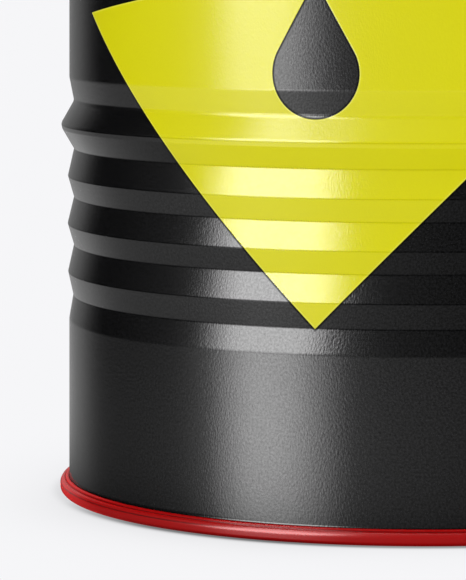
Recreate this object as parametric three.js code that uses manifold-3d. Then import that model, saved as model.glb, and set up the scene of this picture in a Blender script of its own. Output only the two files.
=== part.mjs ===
// Tight-head steel oil drum, about 210 litres: a ribbed body shell, two heads rolled onto it in
// chime seams, and two threaded closures in the top head, the bung at +X and the vent at -X.
// Millimetres, +Z up. Origin: drum axis at the plane the bottom chime stands on. Front is -Y.
import * as THREE from "three";
import { mergeVertices } from "three/addons/utils/BufferGeometryUtils.js";
import Module from "manifold-3d";

const wasm = await Module();
wasm.setup();

// ---------------------------------------------------------------- driving dimensions
const HEIGHT = 880; // over both chimes
const INNER_DIAMETER = 571.5;
const BODY_SHEET = 1.0; // sheet thickness
const HEAD_SHEET = 1.2;
const WALL_RADIUS = INNER_DIAMETER / 2 + BODY_SHEET; // outside of the plain wall
const CHIME_RADIUS = 293.9;
const DRUM_SEGMENTS = 48; // round the drum

// Body corrugations: crests and valleys are outside radii.
const HOOP_RADIUS = 293.0; // rolling hoop crest
const RIB_RADIUS = 287.8; // small rib crest
const VALLEY_RADIUS = 283.1;
const HOOP_Z = 288.6; // middle of the lower rolling hoop; the upper one mirrors it
const HOOP_HALF_CREST = 2.6;
const RIB_PITCH = 38.1;
const TOP_RIB_Z = 249.3; // highest of the three small ribs below the lower hoop

// Head panels: levels are of the middle of the sheet.
const BOTTOM_PANEL_Z = 21.2;
const TOP_PANEL_Z = 863.4;
const PANEL_EDGE_DEPTH = 18.0; // from the chime's edge to the groove round the panel

// Closures.
const BOSS_RISE = 2.2; // bosses stand this much above the top panel
const GAP = 0.3; // vertical gap between stacked closure parts
const NECK_CLEARANCE = 0.5; // radial, between flange neck and collar
const CUT_OVERRUN = 1; // how far a cutter runs past the surface it opens
const THREAD_OVERRUN = 1.2; // turns the groove cutter runs past each end of the flange

// Radii and levels of the two closures. Thread sections are trapezoids given by the radius and
// half width at their root and top.
const CLOSURES = {
  bung: {
    x: 205, segments: 28,
    bossTop: 50, bossFoot: 54,
    collarOut: 36.0, curlIn: 32.4, curlThick: 1.0,
    neck: 34.3, neckTop: 871.0, bore: 28.7,
    baseLow: 859.0, baseHigh: 862.4, baseApothem: 40,
    flangeGasketIn: 35.2, flangeGasketOut: 41.5,
    plugGasketIn: 30.0, plugGasketOut: 34.4, plugGasketThick: 1.8,
    plugHead: 34.2, plugHeadThick: 2.6, plugBody: 28.0, plugLow: 860.0,
    cup: 24.5, cupFloorThick: 2.6, lugLength: 6.6, lugWidth: 7.5,
    thread: { pitch: 2.309, stepsPerTurn: 20, low: 861.5, high: 871.6 },
    groove: { root: 28.3, rootHalf: 0.876, top: 29.95, topHalf: 0.45 },
    ridge: { root: 27.7, rootHalf: 0.85, top: 29.35, topHalf: 0.25 },
  },
  vent: {
    x: -222, segments: 20,
    bossTop: 28, bossFoot: 31.5,
    collarOut: 17.7, curlIn: 14.9, curlThick: 0.8,
    neck: 16.2, neckTop: 870.2, bore: 12.4,
    baseLow: 860.2, baseHigh: 862.8, baseApothem: 22,
    flangeGasketIn: 17.0, flangeGasketOut: 23.0,
    plugGasketIn: 14.0, plugGasketOut: 16.9, plugGasketThick: 1.4,
    plugHead: 17.2, plugHeadThick: 2.6, plugBody: 11.8, plugLow: 861.2,
    cup: 9.9, cupFloorThick: 2.0, lugLength: 3.4, lugWidth: 4.0,
    thread: { pitch: 1.814, stepsPerTurn: 16, low: 862.4, high: 870.4 },
    groove: { root: 12.05, rootHalf: 0.68, top: 13.5, topHalf: 0.38 },
    ridge: { root: 11.5, rootHalf: 0.62, top: 12.95, topHalf: 0.2 },
  },
};

// ---------------------------------------------------------------- materials
const standard = (settings) => new THREE.MeshStandardMaterial(settings);
const blackPaint = standard({ color: 0x17171a, roughness: 0.3, metalness: 0 });
const redPaint = standard({ color: 0xa01417, roughness: 0.35, metalness: 0 });
const zinc = standard({ color: 0xb9bcc0, roughness: 0.35, metalness: 1 });
const rubber = standard({ color: 0x1c1c1c, roughness: 0.8, metalness: 0 });
const compound = standard({ color: 0x6f6a5c, roughness: 0.85, metalness: 0 });

// ---------------------------------------------------------------- helpers
// A closed three.js geometry as a manifold solid, without the zero-width triangles on the axis.
function solid(geometry) {
  const bare = new THREE.BufferGeometry()
    .setAttribute("position", geometry.getAttribute("position"))
    .setIndex(geometry.index);
  const merged = mergeVertices(bare, 1e-4);
  const corners = merged.index.array;
  const triangles = [];
  for (let i = 0; i < corners.length; i += 3) {
    const triangle = corners.slice(i, i + 3);
    if (new Set(triangle).size === 3) triangles.push(...triangle);
  }
  return new wasm.Manifold(
    new wasm.Mesh({
      numProp: 3,
      vertProperties: new Float32Array(merged.attributes.position.array),
      triVerts: new Uint32Array(triangles),
    }),
  );
}

function geometryOf(manifold) {
  const { vertProperties, triVerts } = manifold.getMesh();
  const geometry = new THREE.BufferGeometry()
    .setAttribute("position", new THREE.BufferAttribute(new Float32Array(vertProperties), 3))
    .setIndex(new THREE.BufferAttribute(new Uint32Array(triVerts), 1));
  geometry.computeVertexNormals();
  return geometry;
}

// A profile of [radius, z] points turned about +Z, in either winding. It closes on itself unless
// both ends lie on the axis.
function turned(profile, segments) {
  const points = profile.map(([radius, z]) => new THREE.Vector2(radius, z));
  const onAxis = points[0].x === 0 && points[points.length - 1].x === 0;
  if (!onAxis) points.push(points[0].clone());
  if (THREE.ShapeUtils.area(points) < 0) points.reverse();
  return new THREE.LatheGeometry(points, segments).rotateX(Math.PI / 2);
}

// A flat ring, or a disc when the inner radius is 0.
const ring = (inner, outer, low, high, segments) =>
  turned([[inner, low], [outer, low], [outer, high], [inner, high]], segments);

function unit([x, y]) {
  const length = Math.hypot(x, y);
  return [x / length, y / length];
}

// The closed outline of a sheet whose middle runs along a path of [radius, z] points, with mitred
// corners. A path that starts on the axis keeps its end faces on the axis.
function sheet(path, thickness) {
  const MIN_MITRE_COSINE = 0.35; // limits how far a sharp corner reaches out
  const normals = path.slice(1).map(([radius, z], i) => {
    const [along, up] = unit([radius - path[i][0], z - path[i][1]]);
    return [-up, along];
  });
  const side = (sign) =>
    path.map(([radius, z], i) => {
      const before = normals[Math.max(0, i - 1)];
      const after = normals[Math.min(i, normals.length - 1)];
      const mitre = unit([before[0] + after[0], before[1] + after[1]]);
      const cosine = mitre[0] * before[0] + mitre[1] * before[1];
      const reach = (sign * thickness) / 2 / Math.max(MIN_MITRE_COSINE, cosine);
      return [radius === 0 ? 0 : radius + mitre[0] * reach, z + mitre[1] * reach];
    });
  return [...side(1), ...side(-1).reverse()];
}

// A right-handed helical rib about +Z, closed at both ends. Both the groove cutter and the ridge
// take their phase from thread.low, so that they mesh.
function helix({ root, rootHalf, top, topHalf }, thread, low, high) {
  const { pitch, stepsPerTurn } = thread;
  const first = Math.ceil(((low - thread.low) / pitch) * stepsPerTurn);
  const last = Math.floor(((high - thread.low) / pitch) * stepsPerTurn);
  const section = [[root, -rootHalf], [top, -topHalf], [top, topHalf], [root, rootHalf]];
  const positions = [];
  for (let i = first; i <= last; i++) {
    const angle = (i / stepsPerTurn) * 2 * Math.PI;
    const z = thread.low + (pitch * i) / stepsPerTurn;
    for (const [radius, rise] of section)
      positions.push(radius * Math.cos(angle), radius * Math.sin(angle), z + rise);
  }
  const end = (last - first) * 4;
  const index = [0, 1, 2, 0, 2, 3, end, end + 2, end + 1, end, end + 3, end + 2];
  for (let start = 0; start < end; start += 4)
    for (let k = 0; k < 4; k++) {
      const here = start + k;
      const beside = start + ((k + 1) % 4);
      index.push(here, beside + 4, beside, here, here + 4, beside + 4);
    }
  const geometry = new THREE.BufferGeometry()
    .setAttribute("position", new THREE.Float32BufferAttribute(positions, 3))
    .setIndex(index);
  return solid(geometry);
}

// A path measured up from the bottom chime, measured down from the top chime instead.
const upsideDown = (path) => path.map(([radius, z]) => [radius, HEIGHT - z]);

// ---------------------------------------------------------------- body shell
function bodyShell() {
  const ribZ = (pitchesDown) => TOP_RIB_Z - pitchesDown * RIB_PITCH;
  // Outside corners of the lower wall, [radius, z], from below the ribs up past the hoop.
  const lowerWall = [
    [WALL_RADIUS, ribZ(3) + 1.3],
    [VALLEY_RADIUS, ribZ(2.5) + 0.8],
    [RIB_RADIUS, ribZ(2)],
    [VALLEY_RADIUS, ribZ(1.5)],
    [RIB_RADIUS, ribZ(1)],
    [VALLEY_RADIUS, ribZ(0.5)],
    [RIB_RADIUS, TOP_RIB_Z],
    [VALLEY_RADIUS, HOOP_Z - 18.4],
    [HOOP_RADIUS, HOOP_Z - HOOP_HALF_CREST],
    [HOOP_RADIUS, HOOP_Z + HOOP_HALF_CREST],
    [VALLEY_RADIUS, HOOP_Z + 20.1],
    [WALL_RADIUS, HOOP_Z + 38.6],
  ];
  // The body's own flange inside the seam, [radius, z] of the middle of the sheet.
  const hook = [
    [291.9, 6.4], [291.9, 2.7], [291.1, 1.9], [287.3, 1.9],
    [WALL_RADIUS - BODY_SHEET / 2, 2.9],
  ];
  const lower = [...hook, ...lowerWall.map(([radius, z]) => [radius - BODY_SHEET / 2, z])];
  return turned(sheet([...lower, ...upsideDown(lower).reverse()], BODY_SHEET), DRUM_SEGMENTS);
}

// ---------------------------------------------------------------- heads
// The bottom head's rim, [radius, z] of the middle of the sheet: chuck wall, foot, seaming wall,
// shoulder and the hook tucked behind it.
const RIM_PATH = [
  [277.5, PANEL_EDGE_DEPTH], [282.6, 15.6], [284.85, 10.8], [284.85, 2.6],
  [286.1, HEAD_SHEET / 2], [292.2, HEAD_SHEET / 2],
  [CHIME_RADIUS - HEAD_SHEET / 2, 1.7], [CHIME_RADIUS - HEAD_SHEET / 2, 7.0],
  [290.1, 9.9], [288.7, 10.9], [287.7, 10.3], [287.7, 3.4],
];

const headOf = (path) => turned(sheet(path, HEAD_SHEET), DRUM_SEGMENTS);

const bottomHead = () =>
  headOf([[0, BOTTOM_PANEL_Z], [172, BOTTOM_PANEL_Z], [177, PANEL_EDGE_DEPTH], ...RIM_PATH]);

const PANEL_LOW = TOP_PANEL_Z - HEAD_SHEET / 2;
const PANEL_HIGH = TOP_PANEL_Z + HEAD_SHEET / 2;
const BOSS_LOW = PANEL_LOW + BOSS_RISE;
const BOSS_HIGH = PANEL_HIGH + BOSS_RISE;

const curlTopOf = (closure) => closure.neckTop + GAP + closure.curlThick;

// Raises a boss in the head, hollow below, with a collar that curls in over the flange neck.
function withBoss(head, closure) {
  const { x, segments, bossFoot, bossTop, neck, collarOut, curlIn, neckTop } = closure;
  const curlTop = curlTopOf(closure);
  const footOut = bossFoot - 0.4;
  const footIn = bossFoot - 0.9;
  const topIn = bossTop - 0.7;
  const embed = 0.5; // depth the boss reaches into the panel sheet
  const collarFootOut = collarOut + 1.6;
  const collarFootTop = BOSS_HIGH + 1.4;
  const collarLow = BOSS_LOW + 0.2;
  const curlChamfer = 0.7;
  const at = (geometry) => solid(geometry.translate(x, 0, 0));
  const boss = turned([
    [0, PANEL_HIGH - embed], [footOut, PANEL_HIGH - embed], [footOut, PANEL_HIGH],
    [bossTop, BOSS_HIGH], [0, BOSS_HIGH],
  ], segments);
  const hollow = turned([
    [0, PANEL_LOW - CUT_OVERRUN], [footIn, PANEL_LOW - CUT_OVERRUN], [footIn, PANEL_LOW],
    [topIn, BOSS_LOW], [0, BOSS_LOW],
  ], segments);
  const collar = turned([
    [0, collarLow], [collarFootOut, collarLow], [collarFootOut, BOSS_HIGH],
    [collarOut, collarFootTop], [collarOut, curlTop - curlChamfer],
    [collarOut - curlChamfer, curlTop], [0, curlTop],
  ], segments);
  const neckHole = ring(0, neck + NECK_CLEARANCE, BOSS_LOW - CUT_OVERRUN, neckTop + GAP, segments);
  const mouth = ring(0, curlIn, neckTop, curlTop + CUT_OVERRUN, segments);
  return head
    .add(at(boss))
    .subtract(at(hollow))
    .add(at(collar))
    .subtract(at(neckHole))
    .subtract(at(mouth));
}

function topHead() {
  const path = [
    [0, TOP_PANEL_Z], [263, TOP_PANEL_Z], [267, HEIGHT - PANEL_EDGE_DEPTH],
    ...upsideDown(RIM_PATH),
  ];
  return geometryOf(Object.values(CLOSURES).reduce(withBoss, solid(headOf(path))));
}

// ---------------------------------------------------------------- sealing compound in the seams
// Section in the bottom seam, [radius, z].
const SEALANT_PROFILE = [[288.6, 2.75], [291.1, 2.75], [291.1, 6.9], [288.6, 7.9]];

// ---------------------------------------------------------------- closures
// An upright octagonal prism with flats square to X and Y.
function octagon(apothem, low, high) {
  const radius = apothem / Math.cos(Math.PI / 8);
  const points = [];
  for (let i = 0; i < 8; i++) {
    const angle = Math.PI / 8 + (i * Math.PI) / 4;
    points.push(new THREE.Vector2(radius * Math.cos(angle), radius * Math.sin(angle)));
  }
  const settings = { depth: high - low, bevelEnabled: false };
  return new THREE.ExtrudeGeometry(new THREE.Shape(points), settings).translate(0, 0, low);
}

// Octagonal base under the boss, round neck up into the collar, internal thread.
function flange({ segments, neck, neckTop, bore, baseLow, baseHigh, baseApothem, groove, thread }) {
  const neckLow = baseLow + 0.5; // starts inside the base
  const overrun = THREAD_OVERRUN * thread.pitch;
  const hole = ring(0, bore, baseLow - CUT_OVERRUN, neckTop + CUT_OVERRUN, segments);
  return geometryOf(
    solid(octagon(baseApothem, baseLow, baseHigh))
      .add(solid(ring(0, neck, neckLow, neckTop, segments)))
      .subtract(solid(hole))
      .subtract(helix(groove, thread, baseLow - overrun, neckTop + overrun)),
  );
}

// Cup with a threaded skirt, a sealing rim and four wrench lugs.
function plug(closure, headLow) {
  const { segments, plugBody, plugLow, plugHead, cup, thread, lugLength, lugWidth } = closure;
  const headHigh = headLow + closure.plugHeadThick;
  const footChamfer = 1;
  const headChamfer = 0.8;
  const lugLow = plugLow + 0.5;
  const lugTop = headHigh - 3.2;
  const lugEmbed = 1; // radial reach into the cup wall
  const body = turned([
    [0, plugLow], [plugBody - footChamfer, plugLow], [plugBody, plugLow + footChamfer],
    [plugBody, headLow], [plugHead, headLow], [plugHead, headHigh - headChamfer],
    [plugHead - headChamfer, headHigh], [0, headHigh],
  ], segments);
  const cupFloor = plugLow + closure.cupFloorThick;
  let made = solid(body)
    .add(helix(closure.ridge, thread, thread.low, thread.high))
    .subtract(solid(ring(0, cup, cupFloor, headHigh + CUT_OVERRUN, segments)));
  for (let i = 0; i < 4; i++) {
    const lug = new THREE.BoxGeometry(lugLength, lugWidth, lugTop - lugLow)
      .translate(cup - lugLength / 2 + lugEmbed, 0, (lugTop + lugLow) / 2)
      .rotateZ((i * Math.PI) / 2 + Math.PI / 4);
    made = made.add(solid(lug));
  }
  return geometryOf(made);
}

// ---------------------------------------------------------------- assembly
function mesh(name, geometry, material) {
  const made = new THREE.Mesh(geometry, material);
  made.name = name;
  return made;
}

// One closure's four parts, in a group placed on the closure's axis.
function closureGroup([name, closure]) {
  const { segments, flangeGasketIn, flangeGasketOut, plugGasketIn, plugGasketOut } = closure;
  const flangeGasket = ring(
    flangeGasketIn, flangeGasketOut, closure.baseHigh + GAP, BOSS_LOW - GAP, segments,
  );
  const gasketLow = curlTopOf(closure) + GAP;
  const gasketHigh = gasketLow + closure.plugGasketThick;
  const plugGasket = ring(plugGasketIn, plugGasketOut, gasketLow, gasketHigh, segments);
  const group = new THREE.Group();
  group.position.x = closure.x;
  group.add(
    mesh(`${name}_flange`, flange(closure), zinc),
    mesh(`${name}_flange_gasket`, flangeGasket, rubber),
    mesh(`${name}_plug`, plug(closure, gasketHigh + GAP), zinc),
    mesh(`${name}_plug_gasket`, plugGasket, rubber),
  );
  return group;
}

const drum = new THREE.Group();
drum.add(
  mesh("body_shell", bodyShell(), blackPaint),
  mesh("bottom_head", bottomHead(), redPaint),
  mesh("top_head", topHead(), redPaint),
  mesh("bottom_seam_sealant", turned(SEALANT_PROFILE, DRUM_SEGMENTS), compound),
  mesh("top_seam_sealant", turned(upsideDown(SEALANT_PROFILE), DRUM_SEGMENTS), compound),
  ...Object.entries(CLOSURES).map(closureGroup),
);

export default drum;
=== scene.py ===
"""Looks for the steel oil drum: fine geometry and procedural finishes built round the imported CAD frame."""
import math

import bpy
import numpy as np
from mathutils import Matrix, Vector
from mathutils.geometry import delaunay_2d_cdt


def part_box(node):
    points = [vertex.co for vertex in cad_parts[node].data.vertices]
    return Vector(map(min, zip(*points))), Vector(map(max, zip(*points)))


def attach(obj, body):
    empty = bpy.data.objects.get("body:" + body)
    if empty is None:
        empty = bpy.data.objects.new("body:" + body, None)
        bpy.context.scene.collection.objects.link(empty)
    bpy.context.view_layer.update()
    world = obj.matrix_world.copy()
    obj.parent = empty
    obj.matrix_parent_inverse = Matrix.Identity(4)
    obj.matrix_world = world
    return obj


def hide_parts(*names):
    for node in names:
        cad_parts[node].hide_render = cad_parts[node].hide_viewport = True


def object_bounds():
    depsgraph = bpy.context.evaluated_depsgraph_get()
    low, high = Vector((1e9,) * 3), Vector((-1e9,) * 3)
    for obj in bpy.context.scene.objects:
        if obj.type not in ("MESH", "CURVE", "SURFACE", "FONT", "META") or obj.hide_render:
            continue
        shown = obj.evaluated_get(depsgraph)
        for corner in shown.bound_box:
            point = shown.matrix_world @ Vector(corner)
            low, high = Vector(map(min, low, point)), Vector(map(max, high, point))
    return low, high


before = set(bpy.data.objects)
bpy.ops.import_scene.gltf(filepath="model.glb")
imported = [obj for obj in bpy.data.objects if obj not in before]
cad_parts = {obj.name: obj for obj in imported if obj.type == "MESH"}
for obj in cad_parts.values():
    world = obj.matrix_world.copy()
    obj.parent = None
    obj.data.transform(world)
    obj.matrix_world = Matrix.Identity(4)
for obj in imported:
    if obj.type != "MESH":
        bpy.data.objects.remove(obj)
CAD_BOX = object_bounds()
MM = 0.001

# ------------------------------------------------------------------ sizes read from the frame (mm)
HEIGHT = CAD_BOX[1].z / MM
CHIME_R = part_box("bottom_head")[1].x / MM
BUNG_X = sum(c.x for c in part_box("bung_flange")) / 2 / MM
VENT_X = sum(c.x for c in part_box("vent_flange")) / 2 / MM
WALL_R = 286.75
SHEET = 1.0

SEGS = 256


# ------------------------------------------------------------------ profile tools
def arc_points(p0, p1, p2, radius, step):
    """The fillet at corner p1 of the path p0-p1-p2, as points."""
    a = np.array(p0[:2], float); b = np.array(p1[:2], float); c = np.array(p2[:2], float)
    u = (a - b) / max(np.linalg.norm(a - b), 1e-9)
    v = (c - b) / max(np.linalg.norm(c - b), 1e-9)
    cosang = float(np.clip(u @ v, -1, 1))
    ang = math.acos(cosang)
    turn = math.pi - ang
    if radius <= 0 or turn < 0.01 or ang < 0.02:
        return [tuple(b)]
    t = radius / math.tan(ang / 2)
    t = min(t, 0.47 * np.linalg.norm(a - b), 0.47 * np.linalg.norm(c - b))
    r = t * math.tan(ang / 2)
    bis = u + v
    bis /= np.linalg.norm(bis)
    centre = b + bis * r / math.sin(ang / 2)
    s = b + u * t - centre
    a0 = math.atan2(s[1], s[0])
    e = b + v * t - centre
    a1 = math.atan2(e[1], e[0])
    d = (a1 - a0 + math.pi) % (2 * math.pi) - math.pi
    n = max(3, int(math.ceil(abs(d) / step)))
    return [tuple(centre + r * np.array([math.cos(a0 + d * k / n), math.sin(a0 + d * k / n)])) for k in range(n + 1)]


def rounded(path, closed=False, step=math.radians(7), guard=0.35, longest=28.0):
    """A path of (r, z, fillet) corners as points: fillets, a guard point next to each, and long runs divided."""
    n = len(path)
    pieces = []
    for i, p in enumerate(path):
        if not closed and i in (0, n - 1):
            pieces.append([tuple(p[:2])])
        else:
            pieces.append(arc_points(path[i - 1], p, path[(i + 1) % n], p[2] if len(p) > 2 else 0.0, step))
    out = []
    count = n if closed else n - 1
    for i in range(count):
        here, there = pieces[i], pieces[(i + 1) % n]
        out.extend(here)
        a = np.array(here[-1]); b = np.array(there[0])
        length = float(np.linalg.norm(b - a))
        if length > 3.2 * guard:
            stops = [guard / length]
            m = int(length // longest)
            stops += [(k + 1) / (m + 1) for k in range(m)]
            stops += [1 - guard / length]
            out.extend(tuple(a + (b - a) * s) for s in sorted(stops))
    if not closed:
        out.extend(pieces[-1])
    clean = []
    for p in out:
        if not clean or math.dist(p, clean[-1]) > 1e-4:
            clean.append(p)
    if closed and math.dist(clean[0], clean[-1]) < 1e-4:
        clean.pop()
    return clean


def offset_sheet(centre, t):
    """Both faces of a sheet whose middle is the polyline centre, as one closed loop."""
    c = np.array(centre)
    d = np.zeros_like(c)
    seg = c[1:] - c[:-1]
    seg /= np.linalg.norm(seg, axis=1)[:, None]
    d[0], d[-1] = seg[0], seg[-1]
    d[1:-1] = seg[1:] + seg[:-1]
    d /= np.linalg.norm(d, axis=1)[:, None]
    n = np.stack([d[:, 1], -d[:, 0]], axis=1)
    k = np.ones(len(c))
    k[1:-1] = 1 / np.clip((n[1:-1, 0] * seg[1:, 1] - n[1:-1, 1] * seg[1:, 0]), 0.5, 1)
    one = c + n * (t / 2) * k[:, None]
    two = c - n * (t / 2) * k[:, None]
    return [tuple(p) for p in one] + [tuple(p) for p in two[::-1]]


def new_object(name, verts, faces, smooth_angle=32):
    me = bpy.data.meshes.new(name)
    me.from_pydata([tuple(v) for v in verts], [], faces)
    me.validate()
    ob = bpy.data.objects.new(name, me)
    bpy.context.scene.collection.objects.link(ob)
    me.polygons.foreach_set("use_smooth", [True] * len(me.polygons))
    me.set_sharp_from_angle(angle=math.radians(smooth_angle))
    me.update()
    return ob


def revolve_data(profile, closed, angles, centre=(0.0, 0.0), warp=None):
    """Vertices (m) and faces of a profile [(r, z) mm] turned round a vertical axis, faces outward for a
    counter-clockwise loop in the (r, z) plane. Points on the axis become one vertex."""
    prof = np.array(profile, float)
    m, n = len(prof), len(angles)
    verts, index = [], -np.ones((m, n), int)
    ca, sa = np.sin(angles), -np.cos(angles)
    for i, (r, z) in enumerate(prof):
        if r < 1e-6:
            index[i, :] = len(verts)
            verts.append((centre[0] * MM, centre[1] * MM, z * MM))
            continue
        rr, zz = (np.full(n, r), np.full(n, z)) if warp is None else warp(i, r, z, angles)
        for k in range(n):
            index[i, k] = len(verts)
            verts.append(((centre[0] + rr[k] * ca[k]) * MM, (centre[1] + rr[k] * sa[k]) * MM, zz[k] * MM))
    faces = []
    rows = m if closed else m - 1
    for i in range(rows):
        j = (i + 1) % m
        for k in range(n):
            l = (k + 1) % n
            q = [index[i, k], index[i, l], index[j, l], index[j, k]]
            u = []
            for x in q:
                if x not in u:
                    u.append(int(x))
            if len(u) >= 3:
                faces.append(tuple(u))
    return verts, faces


def loop_area(p):
    x, y = np.array(p)[:, 0], np.array(p)[:, 1]
    return 0.5 * float(np.sum(x * np.roll(y, -1) - np.roll(x, -1) * y))


def revolve(name, profile, closed=True, segs=None, centre=(0.0, 0.0), warp=None, angles=None, smooth_angle=32):
    if angles is None:
        angles = np.arange(segs or SEGS) * 2 * math.pi / (segs or SEGS)
    if closed and loop_area(profile) < 0:
        profile = profile[::-1]
    verts, faces = revolve_data(profile, closed, angles, centre, warp)
    return new_object(name, verts, faces, smooth_angle)


# ------------------------------------------------------------------ node tools
class Nodes:
    """Short names for building shader node trees."""

    def __init__(self, tree):
        self.t = tree
        tree.nodes.clear()

    def add(self, kind, **props):
        n = self.t.nodes.new(kind)
        for k, v in props.items():
            setattr(n, k, v)
        return n

    def link(self, a, b):
        self.t.links.new(a, b)

    def put(self, socket, value):
        if isinstance(value, bpy.types.NodeSocket):
            self.link(value, socket)
        else:
            socket.default_value = value

    def math(self, op, a, b=None, c=None, clamp=False):
        n = self.add("ShaderNodeMath", operation=op, use_clamp=clamp)
        for s, v in zip(n.inputs, (a, b, c)):
            if v is not None:
                self.put(s, v)
        return n.outputs[0]

    def vmath(self, op, a, b=None):
        n = self.add("ShaderNodeVectorMath", operation=op)
        self.put(n.inputs[0], a)
        if b is not None:
            self.put(n.inputs[1], b)
        return n.outputs[0]

    def step(self, x, lo, hi, to_lo=0.0, to_hi=1.0, smooth=True):
        n = self.add("ShaderNodeMapRange", interpolation_type="SMOOTHSTEP" if smooth else "LINEAR", clamp=True)
        self.put(n.inputs["Value"], x)
        self.put(n.inputs["From Min"], lo); self.put(n.inputs["From Max"], hi)
        self.put(n.inputs["To Min"], to_lo); self.put(n.inputs["To Max"], to_hi)
        return n.outputs["Result"]

    def mix(self, f, a, b):
        n = self.add("ShaderNodeMix", data_type="RGBA")
        self.put(n.inputs[0], f); self.put(n.inputs[6], a); self.put(n.inputs[7], b)
        return n.outputs[2]

    def fmix(self, f, a, b):
        n = self.add("ShaderNodeMix", data_type="FLOAT")
        self.put(n.inputs[0], f); self.put(n.inputs[2], a); self.put(n.inputs[3], b)
        return n.outputs[0]

    def noise(self, vec, scale, detail=2.0, rough=0.5, distortion=0.0, kind="FBM"):
        n = self.add("ShaderNodeTexNoise", noise_dimensions="3D", noise_type=kind)
        self.put(n.inputs["Vector"], vec)
        self.put(n.inputs["Scale"], scale); self.put(n.inputs["Detail"], detail)
        self.put(n.inputs["Roughness"], rough); self.put(n.inputs["Distortion"], distortion)
        return n.outputs["Fac"]

    def ramp(self, x, stops, mode="LINEAR"):
        n = self.add("ShaderNodeValToRGB")
        n.color_ramp.interpolation = mode
        e = n.color_ramp.elements
        while len(e) < len(stops):
            e.new(0.5)
        for el, (p, v) in zip(e, stops):
            el.position = p
            el.color = (v, v, v, 1) if isinstance(v, (int, float)) else (*v, 1)
        self.put(n.inputs[0], x)
        return n.outputs[0]

    def bump(self, height, distance, normal=None, strength=1.0):
        n = self.add("ShaderNodeBump")
        n.inputs["Strength"].default_value = strength
        n.inputs["Distance"].default_value = distance
        self.put(n.inputs["Height"], height)
        if normal is not None:
            self.link(normal, n.inputs["Normal"])
        return n.outputs[0]


def material(name):
    m = bpy.data.materials.new(name)
    m.use_nodes = True
    g = Nodes(m.node_tree)
    out = g.add("ShaderNodeOutputMaterial")
    p = g.add("ShaderNodeBsdfPrincipled")
    g.link(p.outputs[0], out.inputs[0])
    return m, g, p


def drum_coords(g):
    """Object position, the arc length round the shell from the front (m, + towards +X) and the height (m)."""
    tc = g.add("ShaderNodeTexCoord")
    pos = tc.outputs["Object"]
    sep = g.add("ShaderNodeSeparateXYZ")
    g.link(pos, sep.inputs[0])
    x, y, z = sep.outputs
    angle = g.math("ARCTAN2", x, g.math("MULTIPLY", y, -1.0))
    arc = g.math("MULTIPLY", angle, WALL_R * MM)
    return pos, arc, z, x, y


def sign_coords(g, x, y, z):
    """Arc and height (m) where the line from SIGN_VIEW through the point meets the plain cylinder of the wall, and 1 on the front."""
    cy, cz, r0 = SIGN_VIEW[1], SIGN_VIEW[2], WALL_R * MM
    dy = g.math("SUBTRACT", y, cy)
    a = g.math("ADD", g.math("MULTIPLY", x, x), g.math("MULTIPLY", dy, dy))
    hb = g.math("MULTIPLY", dy, cy)
    disc = g.math("SUBTRACT", g.math("MULTIPLY", hb, hb), g.math("MULTIPLY", a, cy * cy - r0 * r0))
    t = g.math("DIVIDE", g.math("SUBTRACT", g.math("MULTIPLY", hb, -1.0), g.math("SQRT", g.math("MAXIMUM", disc, 0.0))), a)
    px = g.math("MULTIPLY", x, t)
    py = g.math("ADD", cy, g.math("MULTIPLY", dy, t))
    pz = g.math("ADD", cz, g.math("MULTIPLY", g.math("SUBTRACT", z, cz), t))
    arc = g.math("MULTIPLY", g.math("ARCTAN2", px, g.math("MULTIPLY", py, -1.0)), r0)
    front = g.math("LESS_THAN", y, -0.02)
    return arc, pz, front


def combine(g, x, y, z):
    c = g.add("ShaderNodeCombineXYZ")
    for s, v in zip(c.inputs, (x, y, z)):
        g.put(s, v)
    return c.outputs[0]


# ------------------------------------------------------------------ finishes
BLACK = (0.0020, 0.0020, 0.0022)
YELLOW = (0.725, 0.688, 0.0012)
RED = (0.385, 0.0014, 0.0016)
GLOSS = 0.13

# The plain yellow kite painted on the shell, centred on one side of the front, with a plain black drop in it (m).
KITE_ARC = -0.0834
KITE_TIP, KITE_SIDE, KITE_TOP, KITE_HALF, KITE_BOW = 0.1547, 0.3805, 0.4156, 0.2379, 0.9
DROP_R, DROP_Z, DROP_POINT = 0.0335, 0.3400, 0.4080
BENDS = (154.7, 173.5, 194.4, 211.5, 232.3, 249.3, 270.6, 290.0)  # heights of the rib bends, mm
GROOVE, FOLD = (289.75, 9.6), (293.51, 7.2)  # (r, z) of the chime's two creases, mm
SIGN_VIEW = (0.0, -2.8382, 0.4455)  # the panel's edges were masked as seen from here, so they run straight across the ribs


def orange_peel(g, arc, z):
    """Height of a sprayed enamel film: fine slanted grain that leans the other way past the front, over small cells and shallow waves."""
    flat = combine(g, arc, 0.0, z)
    grains = []
    for lean in (38, -38):
        slant = g.add("ShaderNodeMapping")
        g.link(flat, slant.inputs["Vector"])
        slant.inputs["Rotation"].default_value = (0, math.radians(lean), 0)
        slant.inputs["Scale"].default_value = (1.0, 1.0, 0.42)
        grains.append(g.noise(slant.outputs[0], 800.0, 1.0, 0.5, 0.3))
    fine = g.fmix(g.step(arc, -0.17, -0.09), grains[0], grains[1])
    cells = g.noise(flat, 520.0, 1.5, 0.5, 0.4)
    broad = g.noise(flat, 75.0, 2.0, 0.5, 0.2)
    speck = g.noise(flat, 560.0, 1.0, 0.6)
    return fine, cells, broad, speck


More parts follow.
